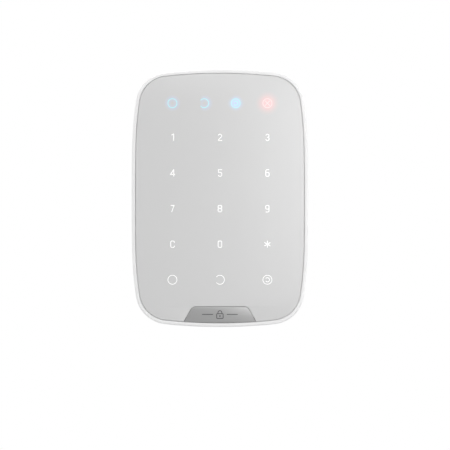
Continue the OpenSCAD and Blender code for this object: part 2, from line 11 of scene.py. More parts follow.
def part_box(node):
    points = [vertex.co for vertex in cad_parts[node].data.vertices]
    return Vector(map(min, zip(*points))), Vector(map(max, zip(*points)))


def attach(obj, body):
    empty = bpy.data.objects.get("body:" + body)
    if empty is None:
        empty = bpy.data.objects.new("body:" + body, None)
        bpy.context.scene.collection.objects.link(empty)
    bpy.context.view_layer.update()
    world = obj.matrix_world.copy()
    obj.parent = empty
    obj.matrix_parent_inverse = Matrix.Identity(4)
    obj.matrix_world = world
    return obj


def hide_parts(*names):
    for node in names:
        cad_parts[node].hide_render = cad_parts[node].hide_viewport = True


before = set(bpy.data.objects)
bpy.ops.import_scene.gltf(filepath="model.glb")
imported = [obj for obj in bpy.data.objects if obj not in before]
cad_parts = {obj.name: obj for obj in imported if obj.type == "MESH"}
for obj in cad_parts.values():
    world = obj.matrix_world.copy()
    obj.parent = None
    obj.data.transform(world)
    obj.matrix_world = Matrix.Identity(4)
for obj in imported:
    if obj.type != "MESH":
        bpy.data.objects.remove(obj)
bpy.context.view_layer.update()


# ---- Front housing ----
# One white ABS moulding: a 2.2 mm side wall that bows out slightly, a narrow front rim, a ledge
# under the touch panel and four posts that take the case screws from behind.
MM = 0.001
housing_low, housing_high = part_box("front_housing")
MIDDLE = (housing_low.z + housing_high.z) / 2 / MM
HALF_W = (housing_high.x - housing_low.x) / 2 / MM
HALF_H = (housing_high.z - housing_low.z) / 2 / MM
FRONT = housing_low.y / MM
BACK = housing_high.y / MM
SIDE_R = 1850            # the outline's arcs: long side, shoulder, then corner and end
SHOULDER_R = 226
SIDE_END, SHOULDER_END, CORNER_END = 0.88, 8.11, 83.9
WALL = 2.2
RIM = 1.95               # width of the front rim round the panel
RISE = 0.2               # the panel and its opening sit this far above the housing's middle
LEDGE_INSET = WALL + 2.8
LEDGE_FRONT = FRONT + 1.1
LEDGE_BACK = LEDGE_FRONT + 1.0
POST_X = 42.8
POST_Z = (51.4, -50.6)
POST_R, POST_HOLE_R = 2.4, 0.85
POST_END, POST_HOLE_END = -2.7, -9
RIB_START, RIB_END, RIB_BACK = 43.5, 48.9, -3.6
LOCK_X, LOCK_Y, LOCK_R = -4.5, -2.2, 1.3


def heading(degrees):
    """Unit vector in the plane of the front, anticlockwise from +X."""
    return Vector((math.cos(math.radians(degrees)), math.sin(math.radians(degrees))))


def outline_arcs():
    """The four tangent arcs of a quarter of the housing: start, end, radius and number of steps."""
    corner, end = heading(CORNER_END), heading(90)
    shoulder = heading(SHOULDER_END)
    side = heading(SIDE_END)
    reach = Vector((HALF_W, 0)) + SIDE_R * (side - heading(0)) + SHOULDER_R * (shoulder - side)
    a, b = corner - shoulder, end - corner
    gap = Vector((0, HALF_H)) - reach
    # the corner arc and the top arc together close the quarter; the top arc's centre is on the axis
    det = a.x * b.y - b.x * a.y
    corner_r = (gap.x * b.y - b.x * gap.y) / det
    end_r = (a.x * gap.y - gap.x * a.y) / det
    return [(0, SIDE_END, SIDE_R, 3), (SIDE_END, SHOULDER_END, SHOULDER_R, 6),
            (SHOULDER_END, CORNER_END, corner_r, 30), (CORNER_END, 90, end_r, 6)]


def outline(inset, rise=0.0):
    """The housing's outline moved inwards, anticlockwise from its right-hand side, in millimetres."""
    quarter = []
    start = Vector((HALF_W - inset, 0))
    for first, last, radius, steps in outline_arcs():
        for i in range(steps):
            angle = first + (last - first) * i / steps
            quarter.append(start + (radius - inset) * (heading(angle) - heading(first)))
        start = start + (radius - inset) * (heading(last) - heading(first))
    top = Vector((0, start.y))
    left = [Vector((-p.x, p.y)) for p in reversed(quarter)]
    upper = quarter + [top] + left
    lower = [Vector((-p.x, -p.y)) for p in upper[1:-1]]
    return [Vector((p.x, p.y + rise)) for p in upper + lower]


def place(point, depth):
    """A point of the front's plane, measured from the housing's middle, at a depth, in metres."""
    return Vector((point.x * MM, depth * MM, (point.y + MIDDLE) * MM))


def add_loft(bm, rings, closed=False):
    """Walls through rings of equal length; the last ring joins the first, or both ends get a cap."""
    loops = [[bm.verts.new(p) for p in ring] for ring in rings]
    pairs = list(zip(loops, loops[1:]))
    if closed:
        pairs.append((loops[-1], loops[0]))
    for near, far in pairs:
        for i in range(len(near)):
            j = (i + 1) % len(near)
            bm.faces.new((near[i], near[j], far[j], far[i]))
    if not closed:
        bm.faces.new(loops[0])
        bm.faces.new(list(reversed(loops[-1])))


def circle(x, z, radius, sides=40):
    """A circle as a loop of points, anticlockwise."""
    return [Vector((x, z)) + radius * heading(360 * i / sides) for i in range(sides)]


def add_turned(bm, x, z, profile, closed=False):
    """A round piece along Y from a profile of (radius, depth) points."""
    add_loft(bm, [[place(p, y) for p in circle(x, z, r)] for r, y in profile], closed)


def add_block(bm, x0, x1, y0, y1, z0, z1):
    """A plain rib or wall between two corners, heights from the housing's middle."""
    corners = [Vector((x0, z0)), Vector((x1, z0)), Vector((x1, z1)), Vector((x0, z1))]
    add_loft(bm, [[place(p, y0) for p in corners], [place(p, y1) for p in corners]])


def make_piece(name, bm, sharp=32):
    """A mesh object from bmesh, smooth except at edges sharper than the given angle."""
    bmesh.ops.remove_doubles(bm, verts=bm.verts, dist=1e-7)
    bmesh.ops.recalc_face_normals(bm, faces=bm.faces)
    mesh = bpy.data.meshes.new(name)
    bm.to_mesh(mesh)
    bm.free()
    mesh.shade_smooth()
    mesh.set_sharp_from_angle(angle=math.radians(sharp))
    piece = bpy.data.objects.new(name, mesh)
    bpy.context.scene.collection.objects.link(piece)
    return piece


def cut_away(piece, cutter):
    """Cuts one mesh out of another and keeps the result as plain mesh."""
    modifier = piece.modifiers.new("cut", "BOOLEAN")
    modifier.operation = "DIFFERENCE"
    modifier.solver = "EXACT"
    modifier.object = cutter
    graph = bpy.context.evaluated_depsgraph_get()
    mesh = bpy.data.meshes.new_from_object(piece.evaluated_get(graph))
    piece.modifiers.clear()
    piece.data = mesh
    bpy.data.objects.remove(cutter)


def rounded(start, radius, inwards, depth_way, steps=5):
    """(inset, depth) steps of a rounded edge that starts on the wall and ends on the face."""
    inset, depth = start
    return [(inset + inwards * radius * (1 - math.cos(math.pi / 2 * i / steps)),
             depth + depth_way * radius * math.sin(math.pi / 2 * i / steps))
            for i in range(steps + 1)]


def housing_section():
    """The wall's cross-section as (inset, depth, rise), once round."""
    front_edge, back_edge, lip_edge = 0.9, 0.3, 0.12
    section = []
    for inset, depth in reversed(rounded((0, BACK - back_edge), back_edge, 1, 1)):
        section.append((inset, depth, 0))
    for inset, depth in rounded((0, FRONT + front_edge), front_edge, 1, -1):
        section.append((inset, depth, 0))
    for inset, depth in reversed(rounded((RIM, FRONT + lip_edge), lip_edge, -1, -1, 3)):
        section.append((inset, depth, RISE))
    section.append((RIM, LEDGE_FRONT, RISE))
    section.append((LEDGE_INSET, LEDGE_FRONT, 0))
    section.append((LEDGE_INSET, LEDGE_BACK, 0))
    section.append((WALL, LEDGE_BACK, 0))
    section.append((WALL, BACK, 0))
    return section


bm = bmesh.new()
add_loft(bm, [[place(p, depth) for p in outline(inset, rise)]
              for inset, depth, rise in housing_section()], closed=True)
housing = make_piece("housing_shell", bm)
bm = bmesh.new()
add_loft(bm, [[Vector((p.x, p.y, z + MIDDLE)) * MM for p in circle(LOCK_X, LOCK_Y, LOCK_R, 32)]
              for z in (-HALF_H - 2, -HALF_H + WALL + 1)])
cut_away(housing, make_piece("lock_hole", bm))
bm = bmesh.new()
bm.from_mesh(housing.data)
for side in (-1, 1):
    for z in POST_Z:
        add_turned(bm, side * POST_X, z, [
            (POST_R, LEDGE_FRONT + 0.4), (POST_R, POST_END - 0.2), (POST_R - 0.2, POST_END),
            (POST_HOLE_R, POST_END), (POST_HOLE_R, POST_HOLE_END)])
        inner, outer = sorted((side * RIB_START, side * RIB_END))
        add_block(bm, inner, outer, LEDGE_FRONT + 0.4, RIB_BACK, z - 0.6, z + 0.6)
bpy.data.objects.remove(housing)
housing = make_piece("housing", bm)


def effect(name, inputs, outputs):
    """An empty shader node group with float inputs and float or vector outputs."""
    group = bpy.data.node_groups.new(name, "ShaderNodeTree")
    for label, value in inputs:
        socket = group.interface.new_socket(name=label, in_out="INPUT",
                                            socket_type="NodeSocketFloat")
        socket.default_value = value
    for label, kind in outputs:
        group.interface.new_socket(name=label, in_out="OUTPUT", socket_type=kind)
    return group, group.nodes.new("NodeGroupInput"), group.nodes.new("NodeGroupOutput")


def maths(tree, operation, *values):
    """A math node fed with sockets or plain numbers; returns its output."""
    node = tree.nodes.new("ShaderNodeMath")
    node.operation = operation
    for socket, value in zip(node.inputs, values):
        if isinstance(value, bpy.types.NodeSocket):
            tree.links.new(value, socket)
        else:
            socket.default_value = value
    return node.outputs[0]


def colour_mix(tree, blend, first, second, factor=1.0):
    """A colour mix node fed with sockets or plain colours; returns its output."""
    node = tree.nodes.new("ShaderNodeMix")
    node.data_type = "RGBA"
    node.blend_type = blend
    factor_socket, first_socket, second_socket = node.inputs[0], node.inputs[6], node.inputs[7]
    for socket, value in ((factor_socket, factor), (first_socket, first), (second_socket, second)):
        if isinstance(value, bpy.types.NodeSocket):
            tree.links.new(value, socket)
        elif socket == factor_socket:
            socket.default_value = value
        else:
            socket.default_value = (*value, 1)
    return node.outputs[2]


def make_grain():
    """Fine spark-eroded texture of a mould, with slow cloudy changes of shade across the part."""
    group, given, out = effect(
        "moulded_grain",
        [("Grain Size", 0.0003), ("Grain Depth", 0.00001), ("Shade Change", 0.02),
         ("Gloss Change", 0.05), ("Gloss", 0.4)],
        [("Shade", "NodeSocketFloat"), ("Roughness", "NodeSocketFloat"),
         ("Normal", "NodeSocketVector")])
    nodes, links = group.nodes, group.links
    where = nodes.new("ShaderNodeTexCoord")
    grain = nodes.new("ShaderNodeTexNoise")
    grain.inputs["Detail"].default_value = 3
    links.new(where.outputs["Object"], grain.inputs["Vector"])
    links.new(maths(group, "DIVIDE", 1, given.outputs["Grain Size"]), grain.inputs["Scale"])
    bump = nodes.new("ShaderNodeBump")
    links.new(grain.outputs["Fac"], bump.inputs["Height"])
    links.new(given.outputs["Grain Depth"], bump.inputs["Distance"])
    links.new(bump.outputs["Normal"], out.inputs["Normal"])
    cloud = nodes.new("ShaderNodeTexNoise")
    cloud.inputs["Scale"].default_value = 45
    cloud.inputs["Detail"].default_value = 5
    links.new(where.outputs["Object"], cloud.inputs["Vector"])
    centred = maths(group, "SUBTRACT", cloud.outputs["Fac"], 0.5)
    shade = maths(group, "MULTIPLY_ADD", centred, given.outputs["Shade Change"], 1)
    gloss = maths(group, "MULTIPLY_ADD", centred, given.outputs["Gloss Change"],
                  given.outputs["Gloss"])
    links.new(shade, out.inputs["Shade"])
    links.new(gloss, out.inputs["Roughness"])
    return group


moulded_grain = make_grain()


def shader_of(material):
    """The Principled shader of a material."""
    return material.node_tree.nodes["Principled BSDF"]


def new_material(name, colour):
    """A material with a Principled shader, and the colour that its patterns start from."""
    material = bpy.data.materials.new(name)
    material.use_nodes = True
    shader = shader_of(material)
    shader.inputs["Base Color"].default_value = (*colour, 1)
    return material, shader


def moulded(name, colour, gloss, grain=0.0003, depth=0.000006, shade=0.03, gloss_change=0.08):
    """A moulded or rolled surface: plain colour with the mould's grain, shade and gloss changes."""
    material, shader = new_material(name, colour)
    nodes, links = material.node_tree.nodes, material.node_tree.links
    surface = nodes.new("ShaderNodeGroup")
    surface.node_tree = moulded_grain
    surface.inputs["Grain Size"].default_value = grain
    surface.inputs["Grain Depth"].default_value = depth
    surface.inputs["Shade Change"].default_value = shade
    surface.inputs["Gloss Change"].default_value = gloss_change
    surface.inputs["Gloss"].default_value = gloss
    tint = colour_mix(material.node_tree, "MULTIPLY", colour, surface.outputs["Shade"])
    links.new(tint, shader.inputs["Base Color"])
    links.new(surface.outputs["Roughness"], shader.inputs["Roughness"])
    links.new(surface.outputs["Normal"], shader.inputs["Normal"])
    return material


white_plastic = moulded("white_abs_fine_satin", (0.84, 0.84, 0.84), 0.42)
shader = shader_of(white_plastic)
shader.inputs["Specular IOR Level"].default_value = 0.4
housing.data.materials.append(white_plastic)
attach(housing, "keypad")
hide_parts("front_housing")


# ---- Touch panel ----
# A 0.95 mm sheet of satin grey acrylic, cut round the badge at its foot and bonded to the ledge.
# Light from the status symbols spreads a few millimetres into it.
PANEL_GAP = 0.34                 # between the rim and the panel
PANEL_INSET = RIM + PANEL_GAP
PANEL_FRONT = FRONT + 0.02       # the printed symbols stand this little proud
PANEL_BACK = FRONT + 0.95
BADGE_TOP = -62.9
BADGE_HALF = 14.15               # from the middle to where the top edge starts to round
BADGE_CORNER = 3.6
BADGE_SLOPE = 29                 # degrees that the slanted sides face upwards


def badge_curve(gap):
    """Right half of the badge's top edge, from its slanted side round the corner to the top."""
    centre = Vector((BADGE_HALF, BADGE_TOP - BADGE_CORNER))
    steps = 10
    return [centre + (BADGE_CORNER - gap) * heading(BADGE_SLOPE + (90 - BADGE_SLOPE) * i / steps)
            for i in range(steps + 1)]


def split_by_badge(gap):
    """The panel's outline above the badge, and its outline below it, ends on the slanted sides."""
    edge = outline(PANEL_INSET, RISE)
    corner = badge_curve(gap)[0]
    away = heading(BADGE_SLOPE)
    right_end = None
    for p, q in zip(edge, edge[1:] + edge[:1]):
        before, after = (p - corner).dot(away), (q - corner).dot(away)
        if p.y < BADGE_TOP and p.x > 0 and before * after <= 0:
            right_end = p.lerp(q, before / (before - after))
    left_end = Vector((-right_end.x, right_end.y))
    above = [p for p in edge if abs(p.x) > right_end.x or p.y > 0]
    below = [p for p in edge if abs(p.x) < right_end.x and p.y < 0]
    turn = next(i for i, p in enumerate(above) if p.y < 0 and p.x > 0)
    return above[turn:] + above[:turn], below, left_end, right_end


def moved_inwards(loop, distance):
    """A loop moved to the left of its direction of travel, corners kept sharp."""
    moved = []
    for i, p in enumerate(loop):
        back = (p - loop[i - 1]).normalized()
        ahead = (loop[(i + 1) % len(loop)] - p).normalized()
        normal = Vector((-back.y - ahead.y, back.x + ahead.x)).normalized()
        reach = max(0.3, normal.dot(Vector((-back.y, back.x))))
        moved.append(p + normal * distance / reach)
    return moved


def add_plate(bm, edge, holes, near, far, radius, back_radius=None, steps=3):
    """A flat plate between two depths with rounded edges; edge and holes run anticlockwise."""
    back_radius = radius if back_radius is None else back_radius
    levels = [(radius * (1 - math.sin(math.pi / 2 * i / steps)),
               near + radius * (1 - math.cos(math.pi / 2 * i / steps))) for i in range(steps + 1)]
    levels += [(back_radius * (1 - math.cos(math.pi / 2 * i / steps)),
                far - back_radius * (1 - math.sin(math.pi / 2 * i / steps)))
               for i in range(steps + 1)]
    walls = []
    for loop, side in [(edge, 1)] + [(hole, -1) for hole in holes]:
        rings = []
        for inset, depth in levels:
            rings.append([bm.verts.new(place(p, depth)) for p in moved_inwards(loop, side * inset)])
        for first, second in zip(rings, rings[1:]):
            for i in range(len(loop)):
                j = (i + 1) % len(loop)
                bm.faces.new((first[i], first[j], second[j], second[i]))
        walls.append(rings)
    for level in (0, -1):
        corners = [v for rings in walls for v in rings[level]]
        for face in tessellate_polygon([[v.co for v in rings[level]] for rings in walls]):
            bm.faces.new([corners[i] for i in face])


above, _, left_end, right_end = split_by_badge(0)
notch = badge_curve(0)
notch_path = [Vector((-p.x, p.y)) for p in notch] + list(reversed(notch))
bm = bmesh.new()
add_plate(bm, above + [left_end] + notch_path + [right_end], [], PANEL_FRONT, PANEL_BACK, 0.12)
panel = make_piece("touch_panel", bm, 40)


def make_glow():
    """Light round a lit ring: full on the ring's radius, fading over a reach to both sides of it."""
    group, given, out = effect(
        "symbol_glow",
        [("Across", 0.0), ("Up", 0.0), ("Radius", 0.0026), ("Reach", 0.0024), ("Power", 1.3),
         ("Fill", 0.0), ("Gap", 0.0)],
        [("Light", "NodeSocketFloat")])
    where = group.nodes.new("ShaderNodeTexCoord")
    parts = group.nodes.new("ShaderNodeSeparateXYZ")
    group.links.new(where.outputs["Object"], parts.inputs[0])
    across = maths(group, "SUBTRACT", parts.outputs["X"], given.outputs["Across"])
    up = maths(group, "SUBTRACT", parts.outputs["Z"], given.outputs["Up"])
    squares = maths(group, "MULTIPLY_ADD", across, across, maths(group, "MULTIPLY", up, up))
    outside = maths(group, "SUBTRACT", maths(group, "SQRT", squares), given.outputs["Radius"])
    # inside a filled symbol the light stays full, inside an open one it fades again
    hollow = maths(group, "SUBTRACT", given.outputs["Fill"], 1)
    inside = maths(group, "MULTIPLY", outside, hollow)
    away = maths(group, "DIVIDE", maths(group, "MAXIMUM", outside, inside), given.outputs["Reach"])
    fade = maths(group, "POWER", maths(group, "MAXIMUM", maths(group, "SUBTRACT", 1, away), 0),
                 given.outputs["Power"])
    # an open ring has its gap on the left, where the light fades out
    left = group.nodes.new("ShaderNodeMapRange")
    left.inputs["From Min"].default_value = -0.0012
    left.inputs["From Max"].default_value = -0.0028
    group.links.new(across, left.inputs["Value"])
    missing = maths(group, "MULTIPLY", left.outputs["Result"], given.outputs["Gap"])
    light = maths(group, "MULTIPLY", fade, maths(group, "SUBTRACT", 1, missing))
    group.links.new(light, out.inputs["Light"])
    return group


symbol_glow = make_glow()


def glow_at(material, node, reach, power, fill=0.0, gap=0.0):
    """The glow round one symbol, as a node placed in a material."""
    low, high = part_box(node)
    light = material.node_tree.nodes.new("ShaderNodeGroup")
    light.node_tree = symbol_glow
    light.inputs["Across"].default_value = (low.x + high.x) / 2
    light.inputs["Up"].default_value = (low.z + high.z) / 2
    light.inputs["Reach"].default_value = reach
    light.inputs["Power"].default_value = power
    light.inputs["Fill"].default_value = fill
    light.inputs["Gap"].default_value = gap
    return light.outputs["Light"]


DARK = (0, 0, 0)


def glow_colour(material, light, colour):
    """The light of one glow in its colour."""
    return colour_mix(material.node_tree, "MIX", DARK, colour, light)


panel_grey = moulded("grey_acrylic_satin", (0.64, 0.64, 0.64), 0.36,
                     grain=0.00016, depth=0.000002, shade=0.015, gloss_change=0.04)
shader = shader_of(panel_grey)
shader.inputs["Coat Weight"].default_value = 0.6
shader.inputs["Coat Roughness"].default_value = 0.45
lit = DARK
for light, colour in (
        (glow_at(panel_grey, "indicator_disarmed", 0.0024, 1.3), (0.0, 0.055, 0.17)),
        (glow_at(panel_grey, "indicator_night", 0.0024, 1.3, gap=1), (0.0, 0.055, 0.17)),
        (glow_at(panel_grey, "indicator_armed", 0.0032, 3, fill=1), (0.0, 0.125, 0.32)),
        (glow_at(panel_grey, "indicator_fault", 0.0054, 2, fill=1), (0.26, 0.0, 0.0))):
    lit = colour_mix(panel_grey.node_tree, "ADD", lit, glow_colour(panel_grey, light, colour))
panel_grey.node_tree.links.new(lit, shader.inputs["Emission Color"])
shader.inputs["Emission Strength"].default_value = 1
panel.data.materials.append(panel_grey)
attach(panel, "keypad")
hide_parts("front_panel")


# ---- Bonding tape ----
# A die-cut frame of thin black foam tape, sticky on both sides, that holds the panel on the
# housing's ledge.
def dress(node, material):
    """Gives a carried-over part of the assembly its material."""
    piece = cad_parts[node]
    piece.data.materials.clear()
    piece.data.materials.append(material)


foam_tape = moulded("black_foam_tape", (0.03, 0.03, 0.03), 0.85,
                    grain=0.00025, depth=0.00003, shade=0.3)
dress("panel_adhesive", foam_tape)


# ---- Badge ----
# A satin silver plate let into the panel's foot, sprayed metal paint on plastic, with a padlock
# printed on it in dark grey.
_, badge_below, badge_left, badge_right = split_by_badge(0.2)
badge_top = badge_curve(0.2)
badge_path = badge_top + [Vector((-p.x, p.y)) for p in reversed(badge_top)]
bm = bmesh.new()
add_plate(bm, [badge_right] + badge_path + [badge_left] + badge_below, [], PANEL_FRONT,
          PANEL_BACK, 0.15)
badge = make_piece("badge", bm, 40)


def make_brushing():
    """Fine parallel lines along X, as rolled, brushed or sprayed metal shows."""
    group, given, out = effect(
        "fine_lines",
        [("Line Spacing", 0.0002), ("Depth", 0.000004), ("Shade Change", 0.1)],
        [("Shade", "NodeSocketFloat"), ("Normal", "NodeSocketVector")])
    nodes, links = group.nodes, group.links
    where = nodes.new("ShaderNodeTexCoord")
    stretch = nodes.new("ShaderNodeVectorMath")
    stretch.operation = "MULTIPLY"
    stretch.inputs[1].default_value = (0.02, 1, 1)
    links.new(where.outputs["Object"], stretch.inputs[0])
    streak = nodes.new("ShaderNodeTexNoise")
    streak.inputs["Detail"].default_value = 4
    links.new(stretch.outputs[0], streak.inputs["Vector"])
    links.new(maths(group, "DIVIDE", 1, given.outputs["Line Spacing"]), streak.inputs["Scale"])
    bump = nodes.new("ShaderNodeBump")
    links.new(streak.outputs["Fac"], bump.inputs["Height"])
    links.new(given.outputs["Depth"], bump.inputs["Distance"])
    links.new(bump.outputs["Normal"], out.inputs["Normal"])
    centred = maths(group, "SUBTRACT", streak.outputs["Fac"], 0.5)
    shade = maths(group, "MULTIPLY_ADD", centred, given.outputs["Shade Change"], 1)
    links.new(shade, out.inputs["Shade"])
    return group


fine_lines = make_brushing()


def metal(name, colour, roughness, metallic=1.0, spacing=0.0002, depth=0.000003, shade=0.12):
    """A brushed, rolled or sprayed metal finish."""
    material, shader = new_material(name, colour)
    nodes, links = material.node_tree.nodes, material.node_tree.links
    lines = nodes.new("ShaderNodeGroup")
    lines.node_tree = fine_lines
    lines.inputs["Line Spacing"].default_value = spacing
    lines.inputs["Depth"].default_value = depth
    lines.inputs["Shade Change"].default_value = shade
    tint = colour_mix(material.node_tree, "MULTIPLY", colour, lines.outputs["Shade"])
    links.new(tint, shader.inputs["Base Color"])
    links.new(lines.outputs["Normal"], shader.inputs["Normal"])
    shader.inputs["Roughness"].default_value = roughness
    shader.inputs["Metallic"].default_value = metallic
    return material


silver = metal("silver_metal_paint", (0.40, 0.40, 0.40), 0.38, metallic=0.5,
               spacing=0.00015, depth=0.000001, shade=0.06)
badge.data.materials.append(silver)
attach(badge, "keypad")
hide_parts("badge_plate")
dark_ink = moulded("dark_grey_ink", (0.075, 0.075, 0.08), 0.45, shade=0.08)
dress("badge_emblem", dark_ink)


# ---- Key legends ----
# Fifteen key symbols in white translucent ink, printed on the panel's face and lit from behind by
# one LED to each key.
white_print = moulded("white_lit_print", (0.92, 0.92, 0.92), 0.35, shade=0.02)
shader = shader_of(white_print)
shader.inputs["Emission Color"].default_value = (1, 1, 1, 1)
shader.inputs["Emission Strength"].default_value = 0.25
dress("key_legends", white_print)


# ---- Status symbols ----
# Four translucent symbols on the panel above the keys, each with a coloured LED of its own behind
# it: cyan, cyan, blue and red-pink.
def lit_window(name, node, body, light):
    """A window's colour by daylight, and the colour of the light that its LED adds."""
    material = moulded(name, body, 0.35, shade=0.02)
    shader = shader_of(material)
    lit = glow_colour(material, glow_at(material, node, 0.0045, 0.5, fill=1), light)
    material.node_tree.links.new(lit, shader.inputs["Emission Color"])
    shader.inputs["Emission Strength"].default_value = 1
    dress(node, material)


lit_window("cyan_window", "indicator_disarmed", (0.30, 0.55, 0.60), (0.24, 0.42, 0.40))
lit_window("cyan_window_open", "indicator_night", (0.30, 0.55, 0.60), (0.24, 0.42, 0.40))
lit_window("blue_window", "indicator_armed", (0.30, 0.55, 0.62), (0.22, 0.40, 0.36))
lit_window("pink_window", "indicator_fault", (0.70, 0.60, 0.60), (0.30, 0.26, 0.26))


# ---- Light mask ----
# A plate moulded in matt white ABS behind the panel, with a round well for each key and status
# light, so that the light of one doesn't reach the next.
white_inner = moulded("white_abs_matt", (0.80, 0.80, 0.78), 0.6, shade=0.05)
dress("light_mask", white_inner)


# ---- Circuit board ----
# Green fibreglass board with traces under the solder mask, gold-plated touch rings and one LED
# in the middle of each.
def make_board():
    """Solder mask over copper traces on two crossing grids."""
    material, shader = new_material("green_circuit_board", (0.01, 0.12, 0.05))
    nodes, links = material.node_tree.nodes, material.node_tree.links
    where = nodes.new("ShaderNodeTexCoord")
    turn = nodes.new("ShaderNodeMapping")
    turn.inputs["Rotation"].default_value = (math.pi / 2, 0, 0)
    links.new(where.outputs["Object"], turn.inputs["Vector"])
    traces = nodes.new("ShaderNodeTexBrick")
    traces.inputs["Scale"].default_value = 320
    traces.inputs["Mortar Size"].default_value = 0.06
    traces.inputs["Color1"].default_value = (0.012, 0.13, 0.055, 1)
    traces.inputs["Color2"].default_value = (0.010, 0.11, 0.045, 1)
    traces.inputs["Mortar"].default_value = (0.03, 0.22, 0.09, 1)
    links.new(turn.outputs[0], traces.inputs["Vector"])
    links.new(traces.outputs["Color"], shader.inputs["Base Color"])
    bump = nodes.new("ShaderNodeBump")
    bump.inputs["Distance"].default_value = 0.00002
    links.new(traces.outputs["Fac"], bump.inputs["Height"])
    links.new(bump.outputs["Normal"], shader.inputs["Normal"])
    shader.inputs["Roughness"].default_value = 0.35
    shader.inputs["Coat Weight"].default_value = 0.4
    return material


dress("main_board", make_board())
gold = metal("gold_plated_copper", (0.83, 0.60, 0.24), 0.3)
dress("touch_pads", gold)
led_body = moulded("led_epoxy", (0.90, 0.86, 0.62), 0.25, shade=0.1)
dress("key_leds", led_body)
dress("indicator_leds", led_body)


# ---- Chips, radio and sounder ----
# Black moulded chips, sleeved capacitors, a tinned steel radio can, a bent metal strip antenna and
# a black sounder, all soldered to the board.
chip_black = moulded("black_chip_epoxy", (0.022, 0.022, 0.024), 0.55,
                     grain=0.0002, depth=0.00001, shade=0.25)
dress("touch_controller", chip_black)
dress("main_processor", chip_black)
capacitor_skin = moulded("black_capacitor_sleeve", (0.02, 0.022, 0.03), 0.3, shade=0.2)
dress("capacitors", capacitor_skin)
tinned = metal("tinned_steel_satin", (0.56, 0.56, 0.55), 0.32, spacing=0.00025)
dress("radio_shield", tinned)
antenna_metal = metal("brass_strip", (0.80, 0.60, 0.28), 0.28)
dress("antenna", antenna_metal)
black_plastic = moulded("black_nylon_matt", (0.018, 0.018, 0.019), 0.5, shade=0.2)
dress("buzzer", black_plastic)


# ---- Tamper switch ----
# Black switch body soldered to the board, with a white acetal plunger on a spring. The wall
# bracket's breakaway corner holds the plunger pressed.
dress("tamper_switch", black_plastic)
plunger_white = moulded("white_acetal", (0.82, 0.82, 0.80), 0.4, shade=0.03)
dress("tamper_plunger", plunger_white)


# ---- Power switch ----
# Slide switch soldered to the board: a brown base, a folded steel frame that shows in the rear
# cover's window, and a black knob.
def soften(node, width):
    """Breaks the sharp edges of a carried-over part, as stamping or moulding does."""
    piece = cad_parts[node]
    weld = piece.modifiers.new("weld", "WELD")
    weld.merge_threshold = 1e-6
    bevel = piece.modifiers.new("soft_edges", "BEVEL")
    bevel.width = width
    bevel.segments = 2
    bevel.limit_method = "ANGLE"
    bevel.angle_limit = math.radians(35)


switch_base = moulded("brown_phenolic", (0.10, 0.045, 0.02), 0.5, shade=0.3)
dress("power_switch_base", switch_base)
frame_steel = metal("stamped_steel_frame", (0.66, 0.66, 0.66), 0.4, metallic=0.8)
dress("power_switch_frame", frame_steel)
soften("power_switch_frame", 0.00012)
knob_black = moulded("black_knob_satin", (0.008, 0.008, 0.008), 0.45, shade=0.2)
shader = shader_of(knob_black)
shader.inputs["Specular IOR Level"].default_value = 0.3
dress("power_switch_knob", knob_black)
soften("power_switch_knob", 0.00015)


# ---- Battery tray, cells and contacts ----
# White tray with four AAA cells in two rows, each can in a dark printed film, with nickel-plated
# strip contacts and coiled springs. Four zinc-plated screws go through tray and board into the
# light mask.
dress("battery_tray", white_inner)
cell_film = moulded("cell_film", (0.03, 0.06, 0.10), 0.25, grain=0.002, depth=0.00001,
                    shade=0.2, gloss_change=0.05)
shader = shader_of(cell_film)
shader.inputs["Metallic"].default_value = 0.6
shader.inputs["Coat Weight"].default_value = 0.5
for cell in ("battery_1", "battery_2", "battery_3", "battery_4"):
    dress(cell, cell_film)
spring_steel = metal("nickel_plated_spring", (0.62, 0.61, 0.58), 0.24)
for contact in ("battery_contact_positive", "battery_contact_negative", "battery_link_contact",
                "battery_springs"):
    dress(contact, spring_steel)
zinc = metal("zinc_plated_screw", (0.60, 0.60, 0.57), 0.3)
dress("tray_screws", zinc)


# ---- Rear cover ----
# White ABS back: a flat border round a shallow recess for the bracket, with seats for the case
# screws, cups round the wall-screw heads, slots for the hooks and a window for the power switch.
COVER_INSET = WALL + 0.15
COVER_BACK = BACK
COVER_SKIN = 1.2
PLATE_W, PLATE_H, PLATE_Z = 74.2, 126.8, 1.2     # the wall bracket's plate
LIFT = 4                 # how far the keypad slides up on the bracket
RECESS_W = PLATE_W + 0.7
RECESS_TOP = PLATE_Z + PLATE_H / 2 + 0.35
RECESS_BOTTOM = PLATE_Z - PLATE_H / 2 - LIFT - 0.6
RECESS_Z = (RECESS_TOP + RECESS_BOTTOM) / 2
RECESS_H = RECESS_TOP - RECESS_BOTTOM
FLOOR_BACK = -1.87
FLOOR_FRONT = -2.6
SCREW_X, SCREW_Z = 31, 55
HOOK_X, HOOK_Z = 30, (34, -36)
PLUNGER = (24.3, 57)
WINDOW = (-8.7, 15.9, RECESS_BOTTOM + 0.25, -60.4)
CUP_W, CUP_R, CUP_WALL = 9.4, 4.6, 0.8
SEAT_R, WELL_R, SHANK_R, WELL_FLOOR = 2.7, 1.6, 0.95, -1.7
REST_X, REST_Z, REST_R, REST_END = 40, (24, -24), 1.6, -11.15    # posts that press on the board


def round_rect(x, z, width, height, radius, steps=8):
    """A rectangle with round corners, anticlockwise."""
    corners = []
    for k, (sx, sz) in enumerate(((1, 1), (-1, 1), (-1, -1), (1, -1))):
        centre = Vector((x + sx * (width / 2 - radius), z + sz * (height / 2 - radius)))
        corners += [centre + radius * heading(90 * k + 90 * i / steps) for i in range(steps + 1)]
    return corners


def box_loop(x0, x1, z0, z1):
    """A sharp rectangle, anticlockwise."""
    return [Vector((x0, z0)), Vector((x1, z0)), Vector((x1, z1)), Vector((x0, z1))]


